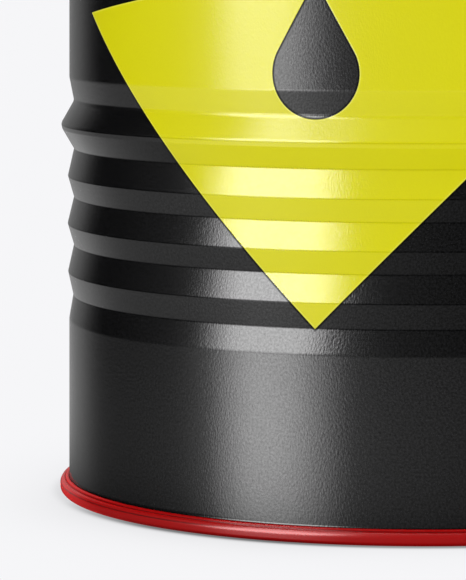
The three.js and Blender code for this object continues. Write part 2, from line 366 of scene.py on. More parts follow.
def kite_distance(g, arc, z):
    """Signed distance (m, positive inside) to the kite without its drop."""
    u = g.math("SUBTRACT", arc, KITE_ARC)
    au = g.math("ABSOLUTE", u)
    k1 = (KITE_SIDE - KITE_TIP) / KITE_HALF + KITE_BOW * KITE_HALF ** 2
    k2 = (KITE_TOP - KITE_SIDE) / KITE_HALF
    rise = g.math("SUBTRACT", g.math("MULTIPLY", au, k1), g.math("MULTIPLY", g.math("POWER", au, 3.0), KITE_BOW))
    low = g.math("MULTIPLY", g.math("SUBTRACT", g.math("SUBTRACT", z, KITE_TIP), rise), 1 / math.hypot(1, k1))
    high = g.math("MULTIPLY", g.math("SUBTRACT", g.math("SUBTRACT", KITE_TOP, g.math("MULTIPLY", au, k2)), z), 1 / math.hypot(1, k2))
    kite = g.math("MINIMUM", low, high)
    # the drop: a disc and the two lines that touch it from its point
    dz = g.math("SUBTRACT", z, DROP_Z)
    disc = g.math("SUBTRACT", DROP_R, g.math("SQRT", g.math("ADD", g.math("MULTIPLY", u, u), g.math("MULTIPLY", dz, dz))))
    half = math.asin(DROP_R / (DROP_POINT - DROP_Z))
    down = g.math("SUBTRACT", DROP_POINT, z)
    cone = g.math("SUBTRACT", g.math("MULTIPLY", down, math.sin(half)), g.math("MULTIPLY", au, math.cos(half)))
    above = g.math("SUBTRACT", dz, DROP_R * math.sin(half) )
    cone = g.math("MINIMUM", cone, above)
    drop = g.math("MAXIMUM", disc, cone)
    return g.math("MINIMUM", kite, g.math("MULTIPLY", drop, -1.0))


def enamel(name, kind):
    """Gloss enamel on steel. kind: shell (black with the yellow kite) or head (red)."""
    m, g, p = material(name)
    pos, arc, z, x, y = drum_coords(g)
    fine, cells, broad, speck = orange_peel(g, arc, z)
    zz = g.math("MINIMUM", z, g.math("SUBTRACT", HEIGHT * MM, z))
    if kind == "shell":
        sarc, sz, front = sign_coords(g, x, y, z)
        d = kite_distance(g, sarc, sz)
        mask = g.math("MULTIPLY", g.step(d, -0.00018, 0.00018), front)
        tone = g.noise(pos, 9.0, 3.0, 0.6)
        black = g.mix(g.step(speck, 0.36, 0.64), (*[c * 0.1 for c in BLACK], 1), (*[c * 2.1 for c in BLACK], 1))
        yellow = g.mix(tone, (YELLOW[0] * 0.98, YELLOW[1] * 0.975, YELLOW[2] * 0.7, 1), (YELLOW[0] * 1.02, YELLOW[1] * 1.02, YELLOW[2] * 1.5, 1))
        # painted shade: a thin dark line along each bend of the ribs, made by darkening the colour and weakening the
        # reflection
        bend_shade = None
        for line in BENDS:
            away = g.math("ABSOLUTE", g.math("SUBTRACT", zz, line * MM))
            bend_shade = away if bend_shade is None else g.math("MINIMUM", bend_shade, away)
        bend_shade = g.step(bend_shade, 0.0001, 0.0010, 1.0, 0.0)
        # painted highlight: a paler yellow line just inside the kite's edge
        border_highlight = g.math("MULTIPLY", g.step(d, 0.0013, 0.0006), g.step(d, -0.0002, 0.0003))
        yellow = g.mix(g.math("MULTIPLY", border_highlight, 0.55), yellow, (0.86, 0.84, 0.10, 1))
        paint = g.mix(mask, black, yellow)
        g.put(p.inputs["Base Color"], g.mix(g.math("MULTIPLY", bend_shade, 0.16), paint, (0, 0, 0, 1)))
        level = g.math("MULTIPLY", g.math("ADD", 0.5, g.math("MULTIPLY", g.math("SUBTRACT", speck, 0.5), 0.42)), g.math("SUBTRACT", 1.0, g.math("MULTIPLY", bend_shade, 0.75)))
        # painted shade: a band of weaker reflection on the wall's foot next to each chime, away from the front
        seam_shade = g.math("MULTIPLY", g.step(zz, 0.0130, 0.0142, 1.0, 0.0), g.step(g.math("ADD", g.math("MULTIPLY", y, -0.985), g.math("MULTIPLY", x, 0.17)), 0.245, 0.19))
        level = g.math("MULTIPLY", level, g.math("SUBTRACT", 1.0, g.math("MULTIPLY", seam_shade, 0.75)))
        # painted shade: a dark outline just outside the kite's edge, made by weakening the reflection
        outline_shade = g.math("MULTIPLY", g.math("MULTIPLY", g.step(d, -0.0019, -0.0010), g.step(d, 0.0001, -0.0003)), front)
        level = g.math("MULTIPLY", level, g.math("SUBTRACT", 1.0, g.math("MULTIPLY", outline_shade, 0.7)))
        g.put(p.inputs["Specular IOR Level"], level)
        rough = g.math("ADD", GLOSS, g.math("MULTIPLY", g.math("SUBTRACT", broad, 0.5), 0.06))
        n = g.bump(g.math("MULTIPLY", g.step(d, -0.0006, 0.0006), front), 0.00012)
    else:
        tone = g.noise(pos, 22.0, 4.0, 0.6)
        red = g.mix(tone, (RED[0] * 0.95, RED[1] * 0.8, RED[2] * 0.8, 1), (RED[0] * 1.05, RED[1] * 1.3, RED[2] * 1.3, 1))
        # creases of the chime, painted shade: the groove inside the lip is darkened, and so is the fold above the
        # seaming wall away from the front, in patches
        rr = g.math("SQRT", g.math("ADD", g.math("MULTIPLY", x, x), g.math("MULTIPLY", y, y)))

        def crease(r0, z0, lo, hi):
            u = g.math("SUBTRACT", rr, r0 * MM)
            v = g.math("SUBTRACT", zz, z0 * MM)
            return g.step(g.math("SQRT", g.math("ADD", g.math("MULTIPLY", u, u), g.math("MULTIPLY", v, v))), lo * MM, hi * MM, 1.0, 0.0)

        away = g.math("DIVIDE", g.math("ADD", g.math("MULTIPLY", y, -0.985), g.math("MULTIPLY", x, 0.17)), rr)
        fold = g.math("MULTIPLY", crease(*FOLD, 0.25, 0.8), g.step(away, 0.85, 0.62))
        shade_patchiness = g.math("ADD", 1.0, g.math("MULTIPLY", g.math("SUBTRACT", g.noise(pos, 60.0, 3.0, 0.6), 0.5), 0.8))
        crease_shade = g.math("MAXIMUM", g.math("MULTIPLY", crease(*GROOVE, 0.3, 0.95), 0.9), g.math("MULTIPLY", fold, shade_patchiness))
        red = g.mix(g.math("MULTIPLY", crease_shade, 0.85, clamp=True), red, (0.10, 0.0004, 0.0004, 1))
        # painted light: towards the grazing edges the red is made brighter and purer, less so in the creases, and its
        # reflection and coat are weakened
        edge = g.add("ShaderNodeLayerWeight")
        edge.inputs["Blend"].default_value = 0.5
        graze_painted_light = g.step(edge.outputs["Facing"], 0.5, 0.95)
        g.put(p.inputs["Base Color"], g.mix(g.math("MULTIPLY", graze_painted_light, g.math("SUBTRACT", 1.0, g.math("MULTIPLY", crease_shade, 0.5))), red, (0.97, 0.008, 0.009, 1)))
        lip = g.math("MULTIPLY", g.step(rr, 0.2865, 0.2869), g.step(rr, 0.2903, 0.2899))
        dull = g.math("SUBTRACT", 1.0, g.math("MULTIPLY", lip, 0.65))
        g.put(p.inputs["Specular IOR Level"], g.math("MULTIPLY", g.fmix(graze_painted_light, 0.42, 0.07), dull))
        p.inputs["Specular Tint"].default_value = (1.0, 0.45, 0.45, 1.0)
        g.put(p.inputs["Coat Weight"], g.math("MULTIPLY", g.fmix(graze_painted_light, 0.42, 0.03), dull))
        p.inputs["Coat Roughness"].default_value = 0.1
        rough = g.math("ADD", GLOSS + 0.04, g.math("MULTIPLY", g.math("SUBTRACT", broad, 0.5), 0.08))
        n = None
    film = 1.0 if kind == "shell" else 0.25
    n = g.bump(broad, 0.00004 * film, n)
    n = g.bump(cells, 0.00005 * film, n)
    n = g.bump(fine, 0.00007 * film, n)
    g.put(p.inputs["Roughness"], rough)
    g.link(n, p.inputs["Normal"])
    if kind == "head":
        g.link(n, p.inputs["Coat Normal"])
    p.inputs["IOR"].default_value = 1.5
    return m


def zinc(name):
    m, g, p = material(name)
    tc = g.add("ShaderNodeTexCoord")
    pos = tc.outputs["Object"]
    cloud = g.noise(pos, 160.0, 4.0, 0.6, 0.4)
    fine = g.noise(pos, 1500.0, 3.0, 0.6)
    stain = g.noise(pos, 45.0, 3.0, 0.55)
    g.put(p.inputs["Base Color"], g.mix(g.step(stain, 0.42, 0.7), (0.60, 0.605, 0.61, 1), (0.50, 0.49, 0.46, 1)))
    p.inputs["Metallic"].default_value = 1.0
    g.put(p.inputs["Roughness"], g.math("ADD", 0.26, g.math("MULTIPLY", cloud, 0.2)))
    n = g.bump(cloud, 0.00012)
    n = g.bump(fine, 0.00003, n)
    g.link(n, p.inputs["Normal"])
    return m


def rubber(name, colour=(0.018, 0.018, 0.019), rough=0.62):
    m, g, p = material(name)
    tc = g.add("ShaderNodeTexCoord")
    pos = tc.outputs["Object"]
    spots = g.noise(pos, 900.0, 3.0, 0.6)
    bloom = g.noise(pos, 70.0, 3.0, 0.5)
    g.put(p.inputs["Base Color"], g.mix(bloom, (*[c * 0.75 for c in colour], 1), (*[c * 1.5 for c in colour], 1)))
    g.put(p.inputs["Roughness"], g.math("ADD", rough, g.math("MULTIPLY", bloom, 0.15)))
    g.link(g.bump(spots, 0.00005), p.inputs["Normal"])
    return m


SHELL_MAT = enamel("shell_enamel", "shell")
HEAD_MAT = enamel("head_enamel", "head")
ZINC_MAT = zinc("zinc_plate")
GASKET_MAT = rubber("gasket_rubber")
SEAL_MAT = rubber("seam_compound", (0.16, 0.145, 0.10), 0.7)


def finish_piece(ob, body, node, mat):
    ob.data.materials.append(mat)
    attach(ob, body)
    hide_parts(node)
    return ob


# ------------------------------------------------------------------ body shell
outer_half = [
    (WALL_R, 12.45, 0.5),
    (WALL_R + 0.22, 11.75, 0.2),
    (WALL_R, 11.2, 0.3),
    (WALL_R, 136.0, 12.0),
    (283.55, 154.9, 1.8),
    (287.65, 173.3, 1.8),
    (283.0, 194.4, 1.6),
    (288.0, 211.3, 1.8),
    (283.0, 232.3, 1.6),
    (287.85, 249.1, 1.8),
    (283.0, 270.7, 2.0),
    (292.4, 286.7, 1.8),
    (293.0, 289.8, 1.2),
    (292.6, 291.5, 2.2),
    (283.0, 308.5, 6.0),
    (WALL_R, 327.4, 10.0),
]
outer_half[0:3] = outer_half[2::-1]  # the small flare over the chime's lip, from below
half = [(r - SHEET / 2, z, f) for r, z, f in outer_half]
hook = [(291.9, 6.4, 0), (291.9, 1.9, 1.0), (286.25, 1.9, 1.1)]
low = hook + half
centre_path = low + [(r, HEIGHT - z, f) for r, z, f in reversed(low)]
shell_profile = offset_sheet(rounded(centre_path, step=math.radians(5), guard=0.3), SHEET)

# columns: even, with a close group at the side weld on the back
cols = np.arange(SEGS) * 2 * math.pi / SEGS
weld = math.pi
offsets = np.array([-1.15, -0.72, -0.62, -0.5, -0.36, -0.18, 0.0, 0.18, 0.36, 0.5, 0.62, 0.72, 1.15])
keep = np.abs((cols - weld + math.pi) % (2 * math.pi) - math.pi) > math.radians(1.3)
shell_cols = np.sort(np.concatenate([cols[keep], weld + np.radians(offsets)]))


def weld_warp(i, r, z, angles):
    """The side weld: a flattened band with a low ridge along each side."""
    d = np.degrees((angles - weld + math.pi) % (2 * math.pi) - math.pi) * math.pi / 180 * r  # mm along the arc
    ridge = np.exp(-((np.abs(d) - 2.7) / 0.55) ** 2) * 0.28
    band = np.where(np.abs(d) < 2.6, 0.12, 0.0)
    fade = 1.0 if 16 < z < HEIGHT - 16 else 0.0
    outer = r > 280
    return r + (ridge + band) * fade * (1 if outer else 0), np.full(len(angles), z)


shell = revolve("drum_shell", shell_profile, angles=shell_cols, warp=weld_warp)
finish_piece(shell, "drum", "body_shell", SHELL_MAT)

# ------------------------------------------------------------------ heads
# Closed section of the bottom head, from the axis out along the underside, round the chime and back along the inside.
rim = [
    (277.0, 17.4, 2.0), (281.9, 15.1, 2.4), (284.25, 10.6, 2.4), (284.25, 2.4, 1.2), (285.95, 0.0, 1.9),
    (292.0, 0.0, 1.6), (CHIME_R - 0.15, 1.9, 2.2), (CHIME_R, 6.9, 7.0), (292.45, 9.2, 1.0), (290.6, 9.7, 0.3),
    (290.0, 9.0, 0.2), (289.6, 9.9, 0.2),
    (289.5, 11.0, 0.4), (288.4, 11.6, 0.6), (287.2, 11.45, 0.3), (287.15, 10.4, 0.3), (287.1, 3.4, 0.25), (288.3, 3.4, 0.25),
    (288.3, 8.6, 0.4), (288.7, 8.9, 0.3), (289.9, 8.4, 0.4), (292.0, 7.0, 0.6), (292.6, 4.6, 0.6), (292.5, 2.2, 0.5),
    (291.5, 1.2, 0.6), (286.5, 1.2, 0.9), (285.45, 2.9, 0.9), (285.45, 10.95, 1.2), (282.95, 16.0, 1.8), (277.5, 18.6, 1.6),
]
bottom_section = [(0.0, 20.6)] + [(171.5, 20.6, 3.0), (176.5, 17.4, 3.0)] + rim + [(177.2, 18.6, 3.0), (172.2, 21.8, 3.0), (0.0, 21.8)]


def section_points(section):
    pts = rounded(section, step=math.radians(9), guard=0.25, longest=24)
    return pts


bottom_pts = section_points(bottom_section)
bottom = revolve("drum_bottom_head", bottom_pts, closed=True)
finish_piece(bottom, "drum", "bottom_head", HEAD_MAT)

# The top head: the same rim mirrored, turned from JOIN_R outwards, and a panel inside JOIN_R with its two bosses and collars.
JOIN_R = 258.0
PANEL_HIGH, PANEL_LOW = 864.0, 862.8
BOSS_RISE = 2.2


def mirrored(points):
    return [(p[0], HEIGHT - p[1], *p[2:]) for p in points]


top_rim = mirrored(rim)
top_section = [(JOIN_R, PANEL_HIGH), (263.2, PANEL_HIGH, 2.0), (267.2, HEIGHT - 17.4, 2.0)] + top_rim + \
              [(266.8, HEIGHT - 18.6, 2.0), (262.8, PANEL_LOW, 2.0), (JOIN_R, PANEL_LOW)]
top_pts = rounded(top_section, step=math.radians(9), guard=0.25, longest=24)

CL = {
    "bung": dict(x=BUNG_X, boss_top=50.0, boss_foot=54.0, ring=39.2, neck_top=871.0, collar_in=34.8, collar_out=36.0, curl_in=32.4, curl=1.0, rows=3),
    "vent": dict(x=VENT_X, boss_top=28.0, boss_foot=31.5, ring=20.6, neck_top=870.2, collar_in=16.7, collar_out=17.7, curl_in=14.9, curl=0.8, rows=3),
}


def smooth01(t):
    t = np.clip(t, 0, 1)
    return t * t * (3 - 2 * t)


def panel_rise(x, y):
    h = np.zeros_like(x)
    for c in CL.values():
        rho = np.hypot(x - c["x"], y)
        h = np.maximum(h, BOSS_RISE * smooth01((c["boss_foot"] - rho) / (c["boss_foot"] - c["boss_top"])))
    return h * smooth01((JOIN_R - np.hypot(x, y)) / 4.0)  # the boss ends short of the rim


def panel_points():
    """Points (mm) and fixed edges of the panel between the JOIN_R circle and the two collar rings."""
    pts, edges = [], []
    ang = np.arange(SEGS) * 2 * math.pi / SEGS

    def ring(cx, r, n, phase=0.0, fixed=False):
        start = len(pts)
        for k in range(n):
            a = 2 * math.pi * (k + phase) / n
            pts.append((cx + r * math.sin(a), -r * math.cos(a)))
        if fixed:
            edges.extend((start + k, start + (k + 1) % n) for k in range(n))

    ring(0.0, JOIN_R, SEGS, 0.0, True)
    ring_n = 96
    for c in CL.values():
        ring(c["x"], c["ring"], ring_n, 0.0, True)
        lo, hi = c["boss_top"], c["boss_foot"]
        radii = [c["ring"] + 1.2, (c["ring"] + lo) / 2, lo - 0.9, lo - 0.3] + list(np.linspace(lo, hi, 9)) + [hi + 0.3, hi + 1.0]
        for r in radii:
            if r > c["ring"] + 0.3:
                ring(c["x"], r, ring_n, 0.0)
    far = [JOIN_R - 0.8] + [r for r in (236, 214, 190, 165, 140, 115, 90, 64, 38, 14)]
    for r in far:
        n = SEGS if r > 200 else max(12, int(SEGS * r / 210))
        for k in range(n):
            a = 2 * math.pi * (k + 0.5) / n
            q = (r * math.sin(a), -r * math.cos(a))
            if all(math.hypot(q[0] - c["x"], q[1]) > c["boss_foot"] + 3.0 for c in CL.values()):
                pts.append(q)
    pts.append((0.0, 0.0))
    return pts, edges, ring_n


def build_top_head():
    pts, edges, ring_n = panel_points()
    out = delaunay_2d_cdt([Vector(p) for p in pts], edges, [], 0, 1e-5)
    v2 = np.array([tuple(v) for v in out[0]])
    tris = []
    for f in out[2]:
        c = v2[list(f)].mean(0)
        if np.hypot(*c) < JOIN_R and all(np.hypot(c[0] - q["x"], c[1]) > q["ring"] * math.cos(math.pi / ring_n) - 1e-4 for q in CL.values()):
            tris.append(tuple(f))
    rise = panel_rise(v2[:, 0], v2[:, 1])
    verts, faces = [], []

    def add(vs, fs):
        base = len(verts)
        verts.extend(vs)
        faces.extend(tuple(base + i for i in f) for f in fs)

    def ccw(f):
        a, b, c = v2[f[0]], v2[f[1]], v2[f[2]]
        return (b[0] - a[0]) * (c[1] - a[1]) - (b[1] - a[1]) * (c[0] - a[0]) > 0

    up = [f if ccw(f) else tuple(reversed(f)) for f in tris]
    add([(x * MM, y * MM, (PANEL_HIGH + h) * MM) for (x, y), h in zip(v2, rise)], up)
    add([(x * MM, y * MM, (PANEL_LOW + h) * MM) for (x, y), h in zip(v2, rise)], [tuple(reversed(f)) for f in up])
    # rim, open at the JOIN_R circle
    prof = top_pts
    rv, rf = revolve_data(prof, False, np.arange(SEGS) * 2 * math.pi / SEGS)
    add(rv, rf if loop_area(prof) > 0 else [tuple(reversed(f)) for f in rf])
    # collars: up the outside, over the curl, down inside and back under the boss
    for c in CL.values():
        top = c["neck_top"] + 0.3 + c["curl"]
        hi, lo = PANEL_HIGH + BOSS_RISE, PANEL_LOW + BOSS_RISE
        path = [
            (c["ring"], hi), (c["collar_out"], hi, 1.6), (c["collar_out"], top, 0.75), (c["curl_in"] , top, 0.45),
            (c["curl_in"], c["neck_top"] + 0.3, 0.3), (c["collar_in"], c["neck_top"] + 0.3, 0.3), (c["collar_in"], lo, 0.9), (c["ring"], lo),
        ]
        pp = rounded(path, step=math.radians(12), guard=0.2)
        cv, cf = revolve_data(pp, False, np.arange(ring_n) * 2 * math.pi / ring_n, (c["x"], 0.0))
        add(cv, [tuple(reversed(f)) for f in cf])
    ob = new_object("drum_top_head", verts, faces)
    import bmesh
    bm = bmesh.new()
    bm.from_mesh(ob.data)
    bmesh.ops.remove_doubles(bm, verts=bm.verts, dist=2e-6)
    bmesh.ops.recalc_face_normals(bm, faces=bm.faces)
    open_edges = sum(1 for e in bm.edges if len(e.link_faces) != 2)
    bm.to_mesh(ob.data)
    bm.free()
    ob.data.set_sharp_from_angle(angle=math.radians(32))
    print("top head: open edges", open_edges)
    return ob


top = build_top_head()
finish_piece(top, "drum", "top_head", HEAD_MAT)

# ------------------------------------------------------------------ sealing compound in the seams
seal = [(288.6, 2.75, 0.3), (291.1, 2.75, 0.3), (291.1, 6.9, 0.4), (288.6, 7.9, 0.4)]
for name, node, path in (("bottom_seam_compound", "bottom_seam_sealant", seal), ("top_seam_compound", "top_seam_sealant", mirrored(seal))):
    finish_piece(revolve(name, rounded(path, True, guard=0.2), segs=SEGS // 2), "drum", node, SEAL_MAT)

# ------------------------------------------------------------------ closures
SPEC = {
    "bung": dict(x=BUNG_X, pitch=2.309, neck=34.3, neck_top=871.0, base_low=859.0, base_high=862.4, flat=40.0, bore=28.7, groove=1.25,
                 fg=(35.2, 41.5, 862.7, 864.7), pg=(30.0, 34.4, 1.8), curl=1.0, head=34.2, head_t=2.6, root=28.0, low=860.0,
                 ridge=1.35, ridge_low=861.5, ridge_high=871.6, cup=24.5, floor=2.6, lugs=(4, 5.2, 3.9, 3.2), segs=128),
    "vent": dict(x=VENT_X, pitch=1.814, neck=16.2, neck_top=870.2, base_low=860.2, base_high=862.8, flat=22.0, bore=12.4, groove=1.1,
                 fg=(17.0, 23.0, 863.1, 864.7), pg=(14.0, 16.9, 1.4), curl=0.8, head=17.2, head_t=2.6, root=11.8, low=861.2,
                 ridge=1.15, ridge_low=862.4, ridge_high=870.4, cup=9.9, floor=2.0, lugs=(4, 2.2, 2.0, 3.2), segs=96),
}


def thread_wave(t):
    """0 in the root and 1 on the crest of a V thread with flattened crests and roots; t in pitches."""
    f = np.abs(((t + 0.5) % 1.0) - 0.5) * 2  # 0 on the crest, 1 midway
    return 1 - np.clip((f - 0.16) / 0.62, 0, 1)


for key, c in SPEC.items():
    cx = (c["x"], 0.0)
    n = c["segs"]
    per = 12
    # flange: octagonal base, round neck, internal thread
    zs = np.arange(c["base_low"] + 0.9, c["neck_top"] - 0.5, c["pitch"] / per)
    outside = rounded([(c["bore"] + 0.9, c["base_low"]), (c["flat"], c["base_low"], 0.5), (c["flat"], c["base_high"], 0.5),
                       (c["neck"], c["base_high"], 0.5), (c["neck"], c["neck_top"], 0.6), (c["bore"] + c["groove"] + 0.05, c["neck_top"])], guard=0.2)
    inside = [(c["bore"], z) for z in zs[::-1]]
    prof = outside + inside
    first_in = len(outside)

    def flange_warp(i, r, z, angles, c=c, first_in=first_in):
        if i >= first_in:
            ends = smooth01((z - c["base_low"] - 0.9) / 0.8) * smooth01((c["neck_top"] - 0.5 - z) / 0.8)
            t = (z - c["ridge_low"]) / c["pitch"] - angles / (2 * math.pi)
            # right-handed: height grows with the angle about +Z
            w = thread_wave(t)
            lead = c["groove"] if z > (c["base_low"] + c["neck_top"]) / 2 else 0.35  # the mouth opens to the thread's full depth
            return c["bore"] + c["groove"] * w * ends + (1 - ends) * lead, np.full(len(angles), z)
        if r > c["neck"] + 0.6:
            a = (angles + math.pi / 8) % (math.pi / 4) - math.pi / 8
            oct_r = c["flat"] / np.cos(a)
            k = (r - c["neck"]) / (c["flat"] - c["neck"])
            return c["neck"] + (oct_r - c["neck"]) * k, np.full(len(angles), z)
        return np.full(len(angles), r), np.full(len(angles), z)

    fl = revolve(f"{key}_flange_threaded", prof, closed=True, segs=n, centre=cx, warp=flange_warp, smooth_angle=28)
    finish_piece(fl, "drum", f"{key}_flange", ZINC_MAT)
    r0, r1, z0, z1 = c["fg"]
    finish_piece(revolve(f"{key}_flange_seal", rounded([(r0, z0, 0.5), (r1, z0, 0.5), (r1, z1, 0.5), (r0, z1, 0.5)], True, guard=0.2), segs=n, centre=cx),
                 "drum", f"{key}_flange_gasket", GASKET_MAT)

    # plug: cup with threaded skirt, sealing rim, recess with wrench lugs
    curl_top = c["neck_top"] + 0.3 + c["curl"]
    g_low = curl_top + 0.3
    g_high = g_low + c["pg"][2]
    h_low = g_high + 0.3
    h_high = h_low + c["head_t"]
    skirt = np.arange(c["low"] + 1.1, h_low - 1.0, c["pitch"] / per)
    bottom_part = rounded([(0.0, c["low"]), (c["root"] - 1.0, c["low"], 0.4), (c["root"], c["low"] + 1.0, 0.2)], guard=0.2)
    skirt_part = [(c["root"], z) for z in skirt]
    lug_count, lug_depth, lug_half, lug_drop = c["lugs"]
    lug_top = h_high - lug_drop
    head_part = rounded([(c["root"], h_low - 0.9), (c["root"], h_low, 0.3), (c["head"], h_low, 0.5), (c["head"], h_high, 0.9),
                         (c["cup"] + 1.2, h_high, 0.8), (c["cup"], h_high - 1.2, 0.5), (c["cup"], lug_top + 0.3)], guard=0.25)
    floor_z = c["low"] + c["floor"]
    lug_rows = [(c["cup"], lug_top + 0.05), (c["cup"], lug_top - 0.15), (c["cup"], lug_top - 0.5), (c["cup"], (lug_top + floor_z) / 2), (c["cup"], floor_z + 0.9), (c["cup"] - 0.25, floor_z + 0.3)]
    floor_part = [(c["cup"] - 0.9, floor_z), (c["cup"] * 0.72, floor_z), (c["cup"] * 0.40, floor_z), (0.0, floor_z)]
    prof = bottom_part + skirt_part + head_part + lug_rows + floor_part
    s0, s1 = len(bottom_part), len(bottom_part) + len(skirt_part)
    l0 = s1 + len(head_part)
    l1 = l0 + len(lug_rows)

    def plug_warp(i, r, z, angles, c=c, s0=s0, s1=s1, l0=l0, l1=l1, lc=lug_count, ld=lug_depth, lh=lug_half, floor_part=floor_part):
        one = np.full(len(angles), z)
        if s0 <= i < s1:
            ends = smooth01((z - c["ridge_low"]) / 1.2) * smooth01((c["ridge_high"] - z) / 0.9)
            t = (z - c["ridge_low"]) / c["pitch"] - angles / (2 * math.pi)
            w = thread_wave(t)
            w = np.clip((w - 0.12) / 0.88, 0, 1)
            return c["root"] + c["ridge"] * w * ends, one
        if l0 <= i <= l1 + 1:
            # wrench lugs stand in from the recess wall
            a = angles % (2 * math.pi / lc) - math.pi / lc
            d = np.abs(a) * c["cup"]
            lug = smooth01((lh + 0.45 - d) / 0.9)
            if i == l0:
                lug = lug * 0.0
            limit = c["cup"] - ld
            return np.where(lug > 0, np.minimum(r, c["cup"] - ld * lug), r) if r > limit else np.full(len(angles), r), one
        return np.full(len(angles), r), one

    pl = revolve(f"{key}_plug_threaded", prof, closed=True, segs=n, centre=cx, warp=plug_warp, smooth_angle=28)
    finish_piece(pl, f"{key}_plug", f"{key}_plug", ZINC_MAT)
    r0, r1, _ = c["pg"]
    finish_piece(revolve(f"{key}_plug_seal", rounded([(r0, g_low, 0.7), (r1, g_low, 0.7), (r1, g_high, 0.7), (r0, g_high, 0.7)], True, guard=0.2), segs=n, centre=cx),
                 f"{key}_plug_seal", f"{key}_plug_gasket", GASKET_MAT)

# ------------------------------------------------------------------ floor
FLOOR_WHITE = (0.9216, 0.9216, 0.9387)


def srgb(v):
    v /= 255
    return v / 12.92 if v <= 0.04045 else ((v + 0.055) / 1.055) ** 2.4


PALE = (srgb(246), srgb(246), srgb(248))
fm = bpy.data.meshes.new("floor")
nf = 96
fv = [(0, 0, 0)] + [(r * math.sin(2 * math.pi * k / nf), -r * math.cos(2 * math.pi * k / nf), 0) for r in (1.0, 400.0) for k in range(nf)]
ff = [(0, 1 + k, 1 + (k + 1) % nf) for k in range(nf)] + [(1 + k, 1 + nf + k, 1 + nf + (k + 1) % nf, 1 + (k + 1) % nf) for k in range(nf)]
fm.from_pydata(fv, [], ff)
floor = bpy.data.objects.new("floor", fm)
bpy.context.scene.collection.objects.link(floor)
floor.location.z = -0.0002
floor.visible_glossy = False
mfloor = bpy.data.materials.new("pale_floor")
mfloor.use_nodes = True
g = Nodes(mfloor.node_tree)
out = g.add("ShaderNodeOutputMaterial")


def curve(g, x, stops, lo=-90.0, hi=90.0, top=10.0, mode="LINEAR"):
    """A graph of value against x, as a colour ramp; values up to top."""
    t = g.math("DIVIDE", g.math("SUBTRACT", x, lo), hi - lo)
    r = g.ramp(t, [((p - lo) / (hi - lo), v / top) for p, v in stops], mode)
    return g.math("MULTIPLY", r, top)


def outside(g):
    """Distance (mm) of the shading point from the chime's circle, and its azimuth from the front (degrees, + towards +X)."""
    geo = g.add("ShaderNodeNewGeometry")
    sep = g.add("ShaderNodeSeparateXYZ")
    g.link(geo.outputs["Position"], sep.inputs[0])
    x, y = sep.outputs[0], sep.outputs[1]
    r = g.math("SQRT", g.math("ADD", g.math("MULTIPLY", x, x), g.math("MULTIPLY", y, y)))
    d = g.math("MAXIMUM", g.math("SUBTRACT", g.math("MULTIPLY", r, 1000.0), CHIME_R), 0.0)
    az = g.math("MULTIPLY", g.math("ARCTAN2", x, g.math("MULTIPLY", y, -1.0)), 180 / math.pi)
    return geo, d, az


# the floor, lit evenly, with the soft contact shade that the drum leaves on it
geo, d, az = outside(g)
near = g.math("EXPONENT", g.math("MULTIPLY", g.math("MULTIPLY", d, d), -1 / 6.0 ** 2))
wide = g.math("EXPONENT", g.math("MULTIPLY", d, -1 / 34.0))
depth = curve(g, az, [(-180, 0.5), (-95, 0.1), (-72, 0.14), (-60, 0.42), (-46, 0.62), (-22, 0.66), (-4, 0.56), (60, 0.55), (180, 0.5)], -180, 180, 1.0)
spread = curve(g, az, [(-180, 0.12), (-95, 0.07), (-80, 0.09), (-60, 0.15), (-22, 0.15), (-4, 0.09), (60, 0.09), (180, 0.12)], -180, 180, 1.0)
shade = g.math("SUBTRACT", 1.0, g.math("ADD", g.math("MULTIPLY", near, depth), g.math("MULTIPLY", wide, spread)))
em = g.add("ShaderNodeEmission")
g.put(em.inputs["Color"], (*PALE, 1))
g.put(em.inputs["Strength"], shade)
g.link(em.outputs[0], out.inputs[0])
fm.materials.append(mfloor)

# ------------------------------------------------------------------ studio light as the enamel sees it
studio = bpy.data.node_groups.new("studio_light", "ShaderNodeTree")
studio.interface.new_socket("Direction", in_out="INPUT", socket_type="NodeSocketVector")
studio.interface.new_socket("Light", in_out="OUTPUT", socket_type="NodeSocketFloat")
g = Nodes(studio)
gi = g.add("NodeGroupInput")
go = g.add("NodeGroupOutput")
sep = g.add("ShaderNodeSeparateXYZ")
g.link(g.vmath("NORMALIZE", gi.outputs[0]), sep.inputs[0])
dx, dy, dz = sep.outputs
elev = g.math("MULTIPLY", g.math("ARCSINE", dz), 180 / math.pi)
phi = g.math("MULTIPLY", g.math("ARCTAN2", g.math("MULTIPLY", dx, -1.0), g.math("MULTIPLY", dy, -1.0)), 180 / math.pi)

# pale floor
floor_e = curve(g, elev, [(-90, 0.4), (-70, 0.5), (-60, 0.65), (-45, 0.92), (-35, 1.0), (-14, 1.0), (-8, 0.42), (-5.5, 0.22), (-3.8, 0.03), (-1.5, 0.0), (90, 0.0)], top=1.0)
floor_p = curve(g, phi, [(-180, 0.5), (-60, 0.3), (-12, 0.19), (3, 0.31), (24, 0.43), (45, 0.64), (58, 0.66), (85, 0.53), (105, 0.39), (120, 0.35), (145, 0.43), (180, 0.5)], -180, 180, 1.0)
light = g.math("MULTIPLY", floor_e, floor_p)
